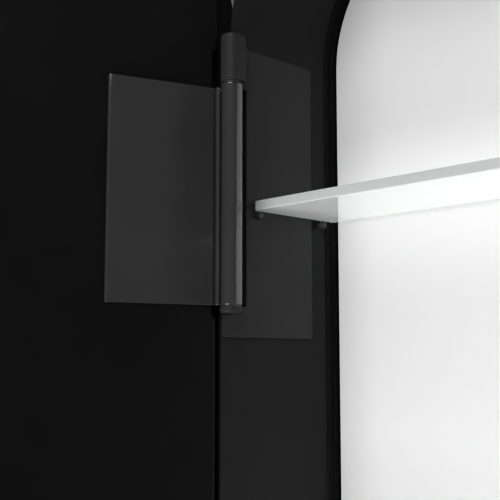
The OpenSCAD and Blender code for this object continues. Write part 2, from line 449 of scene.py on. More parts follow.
def add_screw_head(
    shell: Shell, centre: Pair, height: float, radius: float, rise: float, out: float, place: Placer
) -> None:
    """A domed screw head with a cross recess.

    Its height over the seat at radius r and angle a is rise * sqrt(1 - 0.75 (r/R)^2),
    less a dip where the distance to the nearer arm of the cross is small. The dip is the
    product of two smooth steps, one across the arm and one towards its end.

    Args:
        shell: Where the head goes.
        centre: Where its axis crosses the plane.
        height: The depth of the seat.
        radius: The head's radius R.
        rise: How high the dome stands.
        out: 1 or -1, the way the head faces along the depth.
        place: Puts plane and depth into space.
    """
    share = np.linspace(0.0, 1.0, 25)[:, None]
    a = np.linspace(0.0, 2 * math.pi, 96, endpoint=False)[None]
    x, y = share * np.cos(a), share * np.sin(a)
    across = np.minimum(np.abs(x), np.abs(y))
    along = np.maximum(np.abs(x), np.abs(y))
    dip = 1 / (1 + np.exp((across - 0.12) / 0.02)) / (1 + np.exp((along - 0.55) / 0.03))
    top = rise * np.sqrt(1 - 0.75 * share**2) - 0.55 * rise * dip
    rim = np.zeros((1, a.shape[1]))
    tall = np.vstack([np.broadcast_to(top, x.shape), rim, rim])
    wide = np.vstack([share, [[1.0]], [[0.0]]]) * radius
    shell.grid(
        place(centre[0] + wide * np.cos(a), centre[1] + wide * np.sin(a), height + out * tall),
        wrap_columns=True,
    )


# ---------------------------------------------------------------- finishes


def set_inputs(node: bpy.types.Node, values: dict[str, float | Sequence[float]]) -> None:
    """Sets a node's inputs, with underscores for spaces in their names."""
    for key, value in values.items():
        node.inputs[key.replace("_", " ")].default_value = value


class Nodes:
    """A short hand for building a material's nodes."""

    def __init__(self, name: str) -> None:
        """Starts a material with one Principled shader and its output."""
        self.material = bpy.data.materials.new(name)
        self.material.use_nodes = True
        self.tree = self.material.node_tree
        self.tree.nodes.clear()
        self.output = self.tree.nodes.new("ShaderNodeOutputMaterial")
        self.shader = self.tree.nodes.new("ShaderNodeBsdfPrincipled")
        self.link(self.shader.outputs["BSDF"], self.output.inputs["Surface"])
        self.coordinates = self.tree.nodes.new("ShaderNodeTexCoord")
        self.place = self.coordinates.outputs["Object"]

    def link(self, source: Socket, target: Socket) -> None:
        """Joins an output to an input."""
        self.tree.links.new(source, target)

    def drive(self, name: str, source: Socket) -> None:
        """Feeds one of the shader's own sockets from an output."""
        self.link(source, self.shader.inputs[name])

    def set(self, **values: float | Sequence[float]) -> None:
        """Sets the shader's own sockets, with underscores for spaces in their names."""
        set_inputs(self.shader, values)

    def new(self, kind: str, **values: float | Sequence[float]) -> bpy.types.Node:
        """Adds a node with some of its inputs set, named in the same way."""
        node = self.tree.nodes.new(kind)
        set_inputs(node, values)
        return node

    def stretched(self, scale: Point) -> Socket:
        """Object coordinates multiplied along each axis."""
        node = self.new("ShaderNodeMapping", Scale=scale)
        self.link(self.place, node.inputs["Vector"])
        return node.outputs["Vector"]

    def noise(
        self, scale: float, detail: float = 3.0, rough: float = 0.5, stretch: Point | None = None
    ) -> Socket:
        """Smooth noise between 0 and 1, at so many bumps a metre."""
        node = self.new("ShaderNodeTexNoise", Scale=scale, Detail=detail, Roughness=rough)
        self.link(self.stretched(stretch) if stretch else self.place, node.inputs["Vector"])
        return node.outputs["Fac"]

    def cells(self, scale: float) -> Socket:
        """Distance to the nearest of many scattered points."""
        node = self.new("ShaderNodeTexVoronoi", Scale=scale)
        self.link(self.place, node.inputs["Vector"])
        return node.outputs["Distance"]

    def between(
        self, value: Socket, start: float, end: float, low: float, high: float
    ) -> Socket:
        """A value from start to end carried to the range from low to high."""
        node = self.new("ShaderNodeMapRange", From_Min=start, From_Max=end, To_Min=low, To_Max=high)
        self.link(value, node.inputs["Value"])
        return node.outputs["Result"]

    def spread(self, value: Socket, low: float, high: float) -> Socket:
        """A noise value, mostly from 0.3 to 0.7, carried to the range from low to high."""
        return self.between(value, 0.3, 0.7, low, high)

    def upward(self) -> Socket:
        """How nearly level the surface lies: 1 for a level face, 0 for an upright one."""
        split = self.tree.nodes.new("ShaderNodeSeparateXYZ")
        self.link(self.coordinates.outputs["Normal"], split.inputs["Vector"])
        size = self.tree.nodes.new("ShaderNodeMath")
        size.operation = "ABSOLUTE"
        self.link(split.outputs["Z"], size.inputs[0])
        return size.outputs["Value"]

    def ramp(
        self, value: Socket, stops: Sequence[tuple[float, Colour]]
    ) -> Socket:
        """A colour read off a row of stops."""
        node = self.tree.nodes.new("ShaderNodeValToRGB")
        elements = node.color_ramp.elements
        while len(elements) < len(stops):
            elements.new(0.5)
        for element, (spot, colour) in zip(elements, stops):
            element.position = spot
            element.color = (*colour, 1.0)
        self.link(value, node.inputs["Fac"])
        return node.outputs["Color"]

    def add(
        self, first: Socket, second: Socket, share: float
    ) -> Socket:
        """The first value plus a share of the second."""
        node = self.tree.nodes.new("ShaderNodeMath")
        node.operation = "MULTIPLY_ADD"
        self.link(second, node.inputs[0])
        node.inputs[1].default_value = share
        self.link(first, node.inputs[2])
        return node.outputs["Value"]

    def bump(self, height: Socket, strength: float, distance: float) -> None:
        """Gives the shader a fine relief."""
        node = self.new("ShaderNodeBump", Strength=strength, Distance=distance)
        self.link(height, node.inputs["Height"])
        self.drive("Normal", node.outputs["Normal"])


def scaled(colour: Colour, share: float) -> Colour:
    """A colour made lighter or darker by a share."""
    return (colour[0] * share, colour[1] * share, colour[2] * share)


@dataclass(frozen=True)
class PowderCoat:
    """Satin powder coat: faint flow waves, a fine orange peel and cloudy gloss."""

    name: str
    colour: Colour
    gloss_low: float = 0.34
    gloss_high: float = 0.46
    peel: float = 0.10
    specular: float = 0.5
    coat: float = 0.0
    coat_roughness: float = 0.2

    def material(self) -> bpy.types.Material:
        """Builds the finish."""
        nodes = Nodes(self.name)
        nodes.set(Specular_IOR_Level=self.specular, Coat_Weight=self.coat)
        nodes.set(Coat_Roughness=self.coat_roughness, Coat_IOR=1.8)
        cloud = nodes.noise(14.0, 4.0)
        stops = [(0.3, scaled(self.colour, 0.86)), (0.7, scaled(self.colour, 1.14))]
        nodes.drive("Base Color", nodes.ramp(cloud, stops))
        gloss = nodes.spread(nodes.noise(55.0, 3.0), self.gloss_low, self.gloss_high)
        nodes.drive("Roughness", gloss)
        relief = nodes.add(nodes.noise(900.0, 2.0), nodes.noise(160.0, 2.0), 0.8)
        nodes.bump(relief, self.peel, 0.00012)
        return nodes.material


@dataclass(frozen=True)
class SatinPanel:
    """Light satin back panel: soft even sheen, faint cloud and fine speckle."""

    name: str
    colour: Colour
    sheen_low: float = 0.40
    sheen_high: float = 0.50

    def material(self) -> bpy.types.Material:
        """Builds the finish."""
        nodes = Nodes(self.name)
        nodes.set(Specular_IOR_Level=0.1)
        cloud = nodes.add(nodes.noise(5.0, 2.0), nodes.noise(1200.0, 1.0), 0.10)
        stops = [(0.3, scaled(self.colour, 0.992)), (0.75, self.colour)]
        nodes.drive("Base Color", nodes.ramp(cloud, stops))
        sheen = nodes.spread(nodes.noise(40.0, 2.0), self.sheen_low, self.sheen_high)
        nodes.drive("Roughness", sheen)
        nodes.bump(nodes.noise(1400.0, 1.0), 0.03, 0.00005)
        return nodes.material


@dataclass(frozen=True)
class HazedGlass:
    """Glass with a breath of milk on its faces and ground edges that let less through."""

    name: str
    tint: Colour
    milk: Colour
    edge: Colour
    through_face: float = 0.55
    through_edge: float = 0.27
    ior: float = 1.5
    haze: float = 0.02

    def material(self) -> bpy.types.Material:
        """Builds the finish, which lets lamps through for shadow rays."""
        nodes = Nodes(self.name)
        nodes.set(IOR=self.ior)
        facing = nodes.upward()
        stops = [(0.35, self.edge), (0.9, self.milk)]
        nodes.drive("Base Color", nodes.ramp(facing, stops))
        cloud = nodes.spread(nodes.noise(18.0, 3.0), 0.0, self.haze)
        nodes.drive("Roughness", cloud)
        through = nodes.between(facing, 0.35, 0.9, self.through_edge, self.through_face)
        nodes.drive("Transmission Weight", through)
        clear = nodes.new("ShaderNodeBsdfTransparent", Color=(*self.tint, 1.0))
        light = nodes.new("ShaderNodeLightPath")
        mix = nodes.new("ShaderNodeMixShader")
        nodes.link(light.outputs["Is Shadow Ray"], mix.inputs["Fac"])
        nodes.link(nodes.shader.outputs["BSDF"], mix.inputs[1])
        nodes.link(clear.outputs["BSDF"], mix.inputs[2])
        nodes.link(mix.outputs["Shader"], nodes.output.inputs["Surface"])
        return nodes.material


@dataclass(frozen=True)
class MirrorGlass:
    """Silvered mirror, with the slightest waviness and wiping haze."""

    name: str
    colour: Colour

    def material(self) -> bpy.types.Material:
        """Builds the finish."""
        nodes = Nodes(self.name)
        nodes.set(Metallic=1.0, Base_Color=(*self.colour, 1.0))
        wiped = nodes.noise(9.0, 4.0, 0.6, (1.0, 1.0, 0.25))
        nodes.drive("Roughness", nodes.spread(wiped, 0.012, 0.05))
        nodes.bump(nodes.noise(6.0, 1.0), 0.02, 0.0002)
        return nodes.material


@dataclass(frozen=True)
class Metal:
    """Bare or plated metal, with lines or specks by how it was finished."""

    name: str
    colour: Colour
    grain: Grain
    low: float = 0.18
    high: float = 0.34

    def material(self) -> bpy.types.Material:
        """Builds the finish."""
        nodes = Nodes(self.name)
        nodes.set(Metallic=1.0)
        stretch = {
            Grain.BRUSHED: (1.0, 1.0, 0.03),
            Grain.GROUND: (0.05, 0.05, 1.0),
            Grain.PLATED: (1.0, 1.0, 1.0),
        }[self.grain]
        lines = nodes.noise(2600.0, 3.0, 0.6, stretch)
        stops = [(0.3, scaled(self.colour, 0.85)), (0.7, scaled(self.colour, 1.06))]
        nodes.drive("Base Color", nodes.ramp(lines, stops))
        nodes.drive("Roughness", nodes.spread(lines, self.low, self.high))
        nodes.bump(lines, 0.08, 0.00004)
        return nodes.material


@dataclass(frozen=True)
class Moulded:
    """Moulded plastic or rubber with a spark-eroded texture."""

    name: str
    colour: Colour
    low: float = 0.45
    high: float = 0.62
    texture: float = 0.15
    specular: float = 0.5

    def material(self) -> bpy.types.Material:
        """Builds the finish."""
        nodes = Nodes(self.name)
        nodes.set(Specular_IOR_Level=self.specular)
        cloud = nodes.noise(120.0, 3.0)
        stops = [(0.3, scaled(self.colour, 0.92)), (0.7, scaled(self.colour, 1.08))]
        nodes.drive("Base Color", nodes.ramp(cloud, stops))
        nodes.drive("Roughness", nodes.spread(cloud, self.low, self.high))
        nodes.bump(nodes.cells(1800.0), self.texture, 0.00006)
        return nodes.material


@dataclass(frozen=True)
class Board:
    """Pressed fibre board: short light and dark fibres on a dull ground."""

    name: str
    colour: Colour

    def material(self) -> bpy.types.Material:
        """Builds the finish."""
        nodes = Nodes(self.name)
        nodes.set(Roughness=0.85, Specular_IOR_Level=0.2)
        fibre = nodes.noise(700.0, 5.0, 0.7, (1.0, 1.0, 0.2))
        stops = [(0.25, scaled(self.colour, 0.7)), (0.55, self.colour), (0.8, scaled(self.colour, 1.25))]
        nodes.drive("Base Color", nodes.ramp(fibre, stops))
        nodes.bump(fibre, 0.4, 0.0002)
        return nodes.material


# Each record slot's finish
FINISHES: dict[str, object] = {
    "case_black": PowderCoat("case_black", (0.0115, 0.0117, 0.0119), 0.42, 0.52, specular=0.08),
    "hinge_black": PowderCoat("hinge_black", (0.0225, 0.0228, 0.0231), 0.34, 0.44, specular=0.10),
    "knuckle_black": PowderCoat(
        "knuckle_black", (0.024, 0.0243, 0.0246), 0.34, 0.44, 0.05, 0.1, coat=1.0, coat_roughness=0.1
    ),
    "door_black": PowderCoat("door_black", (0.0042, 0.0043, 0.0045), 0.40, 0.50, 0.06, 0.08),
    # The frame's very dark black is partly its own colour and partly painted shade for the shaded gap
    # behind the door's hinge edge.
    "frame_black": PowderCoat("frame_black", (0.005, 0.0051, 0.0053), 0.30, 0.40, specular=0.2),
    "light_back": SatinPanel("light_back", (0.69, 0.69, 0.69)),
    # The bead's near-black, darker than the case, is partly its own colour and partly painted shade for
    # the back corner of the wall.
    "bead_black": Moulded("bead_black", (0.003, 0.003, 0.003), 0.4, 0.5, specular=0.08),
    "pin_steel": Metal("pin_steel", (0.56, 0.57, 0.58), Grain.GROUND),
    "washer_black": Moulded("washer_black", (0.020, 0.020, 0.020), 0.4, 0.55),
    "bush_nylon": Moulded("bush_nylon", (0.74, 0.73, 0.69)),
    "glass": HazedGlass("glass", (0.78, 0.785, 0.78), (0.965, 0.97, 0.968), (0.48, 0.49, 0.485)),
    "mirror": MirrorGlass("mirror", (0.90, 0.91, 0.915)),
    "board": Board("board", (0.30, 0.21, 0.12)),
    "core_board": Board("core_board", (0.45, 0.36, 0.24)),
    "catch_plastic": Moulded("catch_plastic", (0.018, 0.018, 0.019)),
    "magnet": Metal("magnet", (0.22, 0.22, 0.23), Grain.PLATED, 0.3, 0.5),
    "screw_zinc": Metal("screw_zinc", (0.62, 0.63, 0.65), Grain.PLATED, 0.2, 0.36),
    "strike_zinc": Metal("strike_zinc", (0.56, 0.57, 0.58), Grain.BRUSHED),
    "peg_black": PowderCoat("peg_black", (0.020, 0.020, 0.021), 0.30, 0.40),
    "sleeve_black": Moulded("sleeve_black", (0.016, 0.016, 0.016), 0.6, 0.8),
    "bumper_rubber": Moulded("bumper_rubber", (0.025, 0.025, 0.026), 0.6, 0.8),
}


class Paintbox:
    """Makes each finish once and puts it on pieces and CAD nodes."""

    def __init__(self) -> None:
        """Starts with no material made and reads which node has which slot."""
        self.made: dict[str, bpy.types.Material] = {}
        self.slot_of = {part["node"]: part["material_slot"] for part in frame["record"]["subparts"]}

    def finish(self, slot: str) -> bpy.types.Material:
        """The material of a slot."""
        if slot not in self.made:
            self.made[slot] = FINISHES[slot].material()
        return self.made[slot]

    def dress_node(self, node: str) -> None:
        """Puts a CAD node's finish on it."""
        piece = frame["nodes"][node]
        material = self.finish(self.slot_of[node])
        if not piece.material_slots:
            piece.data.materials.append(material)
        for place in piece.material_slots:
            place.material = material

    def dress(self, piece: bpy.types.Object, body: Body, node: str) -> None:
        """Finishes a new piece.

        Args:
            piece: The new piece.
            body: The body that it moves with.
            node: The CAD node that it stands for, whose slot it takes.
        """
        slot = self.slot_of[node]
        piece.data.materials.append(self.finish(slot))
        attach(piece, body.value)
        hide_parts(node)
        log.info("%s: %d faces, rides on %s", piece.name, len(piece.data.polygons), body.value)


# ---------------------------------------------------------------- the case


@dataclass
class Case:
    """The bent side band, the lips at its ends and the bead round the back panel."""

    paint: Paintbox
    sheet: float = 1.5 * MM
    corner: float = 81 * MM
    finger_cut: float = 7 * MM
    cut_below_corner: float = 2.5 * MM
    cut_ease: float = 1.4 * MM
    bead_width: float = 4.4 * MM
    leg_thick: float = 0.8 * MM
    leg_height: float = 5.5 * MM
    groove_width: float = 1.3 * MM
    groove_depth: float = 3.2 * MM
    half_w: float = field(init=False)
    half_h: float = field(init=False)
    depth: float = field(init=False)

    def __post_init__(self) -> None:
        """Reads the outer size off the side band."""
        low, high = low_high("side_band")
        self.half_w, self.half_h, self.depth = high[0], high[2], -low[1]

    def outline(self, corner: float) -> Outline:
        """The case's width and height with corners of a radius."""
        return rounded_box((-self.half_w, -self.half_h), (self.half_w, self.half_h), corner, 24)

    def band(self) -> None:
        """The side band, carried round, with its rim cut back round each corner.

        The cut is the product of two smooth steps, one in the height and one in the
        distance from the middle, so that it runs from one straight side to the next.
        """
        corners = [(0.0, 0.0), (0.0, -self.depth), (self.sheet, -self.depth), (self.sheet, 0.0)]
        section = rounded_section(corners, [0.3 * MM, 0.35 * MM, 0.35 * MM, 0.3 * MM])
        step = self.cut_ease
        near = np.linspace(0.0, step, 7)[1:]
        distances = np.concatenate([near, near + self.cut_below_corner - step / 2])
        outline = with_more_points(self.outline(self.corner), distances)
        x, z = np.abs(outline.points).T
        above = smooth_step(z - (self.half_h - self.corner - self.cut_below_corner), step)
        beside = smooth_step(x - (self.half_w - self.corner - step / 2), step)
        shell = Shell()
        add_carried(shell, outline, section, upright, cut_back=self.finger_cut * above * beside)
        self.paint.dress(shell.build("case_side_band"), Body.CABINET, "side_band")

    def lip(self, node: str) -> None:
        """The lip along one straight end: a strip with eased edges over its CAD box."""
        low, high = low_high(node)
        shell = Shell()
        outline = rounded_box((low[0], low[2]), (high[0], high[2]), 0.6 * MM, 4)
        add_plate(shell, outline, low[1], high[1], 0.35 * MM, upright)
        self.paint.dress(shell.build("case_" + node), Body.CABINET, node)

    def bead(self) -> None:
        """The bead: a thin leg up the wall, a low crest and a groove beside the panel. Its near-black
        colour, carried up the wall by the leg, is partly painted shade for the back corner.
        """
        low, high = low_high("liner_bead")
        back, top = high[1], low[1]
        wall, edge = self.sheet, self.sheet + self.bead_width
        leg, crest = wall + self.leg_thick, top + self.leg_height
        groove, floor = edge - self.groove_width, crest + self.groove_depth
        slant = 0.3 * MM
        corners = [
            (wall, back),
            (wall, top),
            (leg, top + slant),
            (leg + slant, crest),
            (groove - slant, crest),
            (groove, floor),
            (edge, floor),
            (edge, back),
        ]
        radii = [0.1 * MM, 0.15 * MM, 0.3 * MM, 0.8 * MM, 0.4 * MM, 0.2 * MM, 0.05 * MM, 0.1 * MM]
        section = rounded_section(corners, radii, support=0.05 * MM)
        shell = Shell()
        add_carried(shell, self.outline(self.corner), section, upright)
        self.paint.dress(shell.build("case_liner_bead"), Body.CABINET, "liner_bead")

    def build(self) -> None:
        """Builds the case's pieces and dresses its flat CAD nodes."""
        self.band()
        self.lip("top_lip")
        self.lip("bottom_lip")
        self.bead()
        for node in ("back_pan", "back_liner"):
            self.paint.dress_node(node)


# ---------------------------------------------------------------- hinges


@dataclass
class HingeSizes:
    """Sizes that both hinges share. Heights are from the hinge's middle."""

    barrel: float = 5.6 * MM
    leaf_thick: float = 1.6 * MM
    leaf_face: float = 2 * MM
    leaf_reach: float = 64 * MM
    leaf_top: float = 50 * MM
    leaf_low: float = -60.3 * MM
    seam: float = 52.4 * MM
    upper_low: float = 53.7 * MM
    upper_top: float = 78.8 * MM
    cap_low: float = -64.4 * MM
    cap_high: float = -61.4 * MM
    bore: float = 4.52 * MM
    pin: float = 3.27 * MM
    wall_leaf_half: float = 76 * MM
    cut_reach: float = 15 * MM
    block_reach: float = 5.2 * MM
    block_top: float = 77.6 * MM
    block_ease: float = 0.6 * MM
    leaf_ahead: float = 0.8 * MM
    relief: float = 0.5 * MM
    leaf_start: float = 2 * MM
    chamfer: float = 0.8 * MM
    groove_at: tuple[float, float, float] = (7.7 * MM, 8.5 * MM, 8.9 * MM)
    groove_depth: float = 0.7 * MM
    round_top: float = 2 * MM
    bead: float = 1.1 * MM
    bead_at: Pair = (7.1 * MM, -0.8 * MM)


@dataclass
class Hinge:
    """One barrel hinge: a wall leaf with a short knuckle, a door leaf with a long one."""

    paint: Paintbox
    turn: DoorTurn
    tag: str
    middle: float
    sizes: HingeSizes = field(default_factory=HingeSizes)

    def wall_leaf(self) -> None:
        """The plate on the case wall, cut back beside the door's knuckle, and its own knuckle."""
        s = self.sizes
        node = "hinge_wall_leaf_" + self.tag
        low, high = low_high(node)
        wall, face = low[0], low[0] + s.leaf_thick
        front, back = self.turn.y - s.leaf_ahead, high[1]
        cut = self.turn.y + s.cut_reach
        half = s.wall_leaf_half
        clear = math.sqrt((s.barrel + s.relief) ** 2 - (face - self.turn.x) ** 2)
        round_cap = self.turn.y + clear
        corners = [
            (front, half),
            (front, s.upper_low),
            (cut, s.upper_low),
            (cut, s.leaf_low),
            (round_cap, s.leaf_low),
            (round_cap, s.cap_low),
            (front, s.cap_low),
            (front, -half),
            (back, -half),
            (back, half),
        ]
        placed = [(y, z + self.middle) for y, z in corners]
        shell = Shell()
        add_plate(shell, eased_polygon(placed, 0.8 * MM), wall, face, 0.3 * MM, sideways)
        x, y = self.turn.axis
        right, behind = x + s.barrel, y + s.block_reach
        block = [(wall, y), (right, y), (right, behind), (wall, behind)]
        low_end, high_end = self.middle + s.upper_low, self.middle + s.block_top
        add_plate(shell, eased_polygon(block, 2 * s.block_ease), low_end, high_end, s.block_ease, level)
        top = self.middle + s.upper_top
        knuckle = rounded_section(
            [(s.pin, low_end), (s.barrel, low_end), (s.barrel, top), (0.0, top)],
            [0.2 * MM, 0.5 * MM, s.round_top, 0.0],
            steps=8,
            closed=False,
        )
        closed_in = np.vstack([[0.0, knuckle[0, 1]], knuckle[1:]])
        add_turned(shell, closed_in, self.turn.axis, level)
        self.paint.dress(shell.build("hinge_%s_wall_leaf" % self.tag), Body.CABINET, node)

    def door_leaf(self) -> None:
        """The plate on the door, the long knuckle and the rolled edge between them."""
        s = self.sizes
        x, y = self.turn.axis
        face = y - s.leaf_face
        start, end = x + s.leaf_start, x + s.leaf_reach
        groove_start, groove_end, slant_end = (x + spot for spot in s.groove_at)
        corners = [
            (start, face),
            (start, face - s.leaf_thick),
            (end, face - s.leaf_thick),
            (end, face - s.chamfer),
            (end - s.chamfer, face),
            (slant_end, face),
            (groove_end, face - s.groove_depth),
            (groove_start, face - s.groove_depth),
        ]
        outline = outlined(rounded_section(corners, [0.33 * MM] * len(corners), 4, support=0.02 * MM))
        low, high = self.middle + s.leaf_low, self.middle + s.leaf_top
        shell = Shell(self.turn)
        add_plate(shell, outline, low, high, 0.18 * MM, level)
        seam = self.middle + s.seam
        ring = rounded_section(
            [(s.bore, low), (s.barrel, low), (s.barrel, seam), (s.bore, seam)],
            [0.2 * MM, 0.6 * MM, 0.6 * MM, 0.2 * MM],
        )
        add_turned(shell, ring, self.turn.axis, level, 96)
        rolled = rounded_section(
            [(0.0, low), (s.bead, low), (s.bead, high), (0.0, high)],
            [0.0, 0.5 * MM, 0.5 * MM, 0.0],
            closed=False,
        )
        add_turned(shell, rolled, (x + s.bead_at[0], y + s.bead_at[1]), level, 32)
        piece = shell.build("hinge_%s_door_leaf" % self.tag)
        self.paint.dress(piece, Body.DOOR, "hinge_door_leaf_" + self.tag)

    def build(self) -> None:
        """Builds both leaves."""
        self.wall_leaf()
        self.door_leaf()


@dataclass
class HingeFittings:
    """The caps of both hinges, and the finishes of what is inside the barrels."""

    paint: Paintbox
    hinges: list[Hinge]

    def caps(self) -> None:
        """A cap under each barrel: a flat disc with a rounded lower edge and a dished foot."""
        shell = Shell()
        for hinge in self.hinges:
            s = hinge.sizes
            low, high = hinge.middle + s.cap_low, hinge.middle + s.cap_high
            profile = rounded_section(
                [(0.0, low + 0.5 * MM), (3.2 * MM, low + 0.4 * MM), (4.2 * MM, low), (s.barrel, low),
                 (s.barrel, high), (0.0, high)],
                [0.0, 0.4 * MM, 0.4 * MM, 1.6 * MM, 0.5 * MM, 0.0],
                steps=6,
                closed=False,
                support=0.1 * MM,
            )
            add_turned(shell, profile, hinge.turn.axis, level)
        self.paint.dress(shell.build("hinge_caps_turned"), Body.CABINET, "hinge_caps")

    def build(self) -> None:
        """Builds the caps and dresses pins, washers and bushes."""
        self.caps()
        for node in ("hinge_pins", "hinge_washers", "hinge_bushes"):
            self.paint.dress_node(node)


# ---------------------------------------------------------------- shelves


@dataclass
class Shelf:
    """A glass shelf on four sleeved pegs."""

    paint: Paintbox
    body: Body
    corner: float = 2.5 * MM
    arris: float = 0.6 * MM
    peg: float = 1.6 * MM
    peg_length: float = 6.3 * MM
    sleeve: float = 2.1 * MM
    sleeve_length: float = 2.6 * MM
    peg_fit: float = 0.05 * MM

    def glass(self) -> None:
        """The pane: a rounded rectangle with eased edges."""
        low, high = low_high(self.body.value)
        outline = rounded_box((low[0], low[1]), (high[0], high[1]), self.corner, 16)
        shell = Shell()
        add_plate(shell, outline, low[2], high[2], self.arris, level, 5)
        self.paint.dress(shell.build(self.body.value + "_glass"), self.body, self.body.value)

    def along_walls(
        self, node: str, corners: Sequence[Pair], radii: Sequence[float], ring: bool
    ) -> None:
        """The same turned shape at each of the four pegs.

        Args:
            node: The CAD node that it stands for, whose box gives the places.
            corners: Radius and distance from the outer end, for one of them.
            radii: The easing of each corner.
            ring: Whether the profile closes on itself, round a bore.
        """
        low, high = low_high(node)
        widest = max(corner[0] for corner in corners)
        height = (low[2] + high[2]) / 2
        shell = Shell()
        for side in (-1, 1):
            placed = [(radius, side * (high[0] - inwards)) for radius, inwards in corners]
            profile = rounded_section(placed, radii, 4, closed=ring, support=0.1 * MM)
            for y in (low[1] + widest, high[1] - widest):
                add_turned(shell, profile, (y, height), sideways, 32)
        self.paint.dress(shell.build(node + "_turned"), Body.CABINET, node)

    def supports(self) -> None:
        """Black pegs with rounded tips, and a rubber sleeve over each."""
        tag = self.body.value.removeprefix("shelf_")
        rod = [(0.0, 0.0), (self.peg, 0.0), (self.peg, self.peg_length), (0.0, self.peg_length)]
        self.along_walls("shelf_pegs_" + tag, rod, [0.0, 0.2 * MM, 0.7 * MM, 0.0], False)
        bore, length = self.peg + self.peg_fit, self.sleeve_length
        tube = [(bore, 0.0), (self.sleeve, 0.0), (self.sleeve, length), (bore, length)]
        self.along_walls("peg_sleeves_" + tag, tube, [0.1 * MM, 0.3 * MM, 0.3 * MM, 0.1 * MM], True)

    def build(self) -> None:
        """Builds the pane and its supports."""
        self.glass()
        self.supports()


# ---------------------------------------------------------------- catch


@dataclass
class Catch:
    """The magnetic catch on the case wall."""

    paint: Paintbox
    ease: float = 1.0 * MM
    magnet_ease: float = 0.4 * MM
    head_rise: float = 1.6 * MM

    def block(self, node: str, name: str, ease: float) -> None:
        """An eased block over a CAD node's own box, lying against the wall."""
        low, high = low_high(node)
        corners = [(low[1], low[2]), (high[1], low[2]), (high[1], high[2]), (low[1], high[2])]
        shell = Shell()
        add_plate(shell, eased_polygon(corners, 2 * ease), low[0], high[0], ease, sideways)
        self.paint.dress(shell.build(name), Body.CABINET, node)

    def screws(self) -> None:
        """Two domed screws whose heads face into the case."""
        low, high = low_high("catch_screws")
        radius = (high[1] - low[1]) / 2
        y = (low[1] + high[1]) / 2
        seat = low[0] + self.head_rise
        shell = Shell()
        for z in (low[2] + radius, high[2] - radius):
            add_screw_head(shell, (y, z), seat, radius, self.head_rise, -1.0, sideways)
        self.paint.dress(shell.build("catch_screw_heads"), Body.CABINET, "catch_screws")

    def build(self) -> None:
        """Builds the body, the magnet and the screws."""
        self.block("catch_body", "catch_housing", self.ease)
        self.block("catch_magnet", "catch_magnet_bar", self.magnet_ease)
        self.screws()


# ---------------------------------------------------------------- door


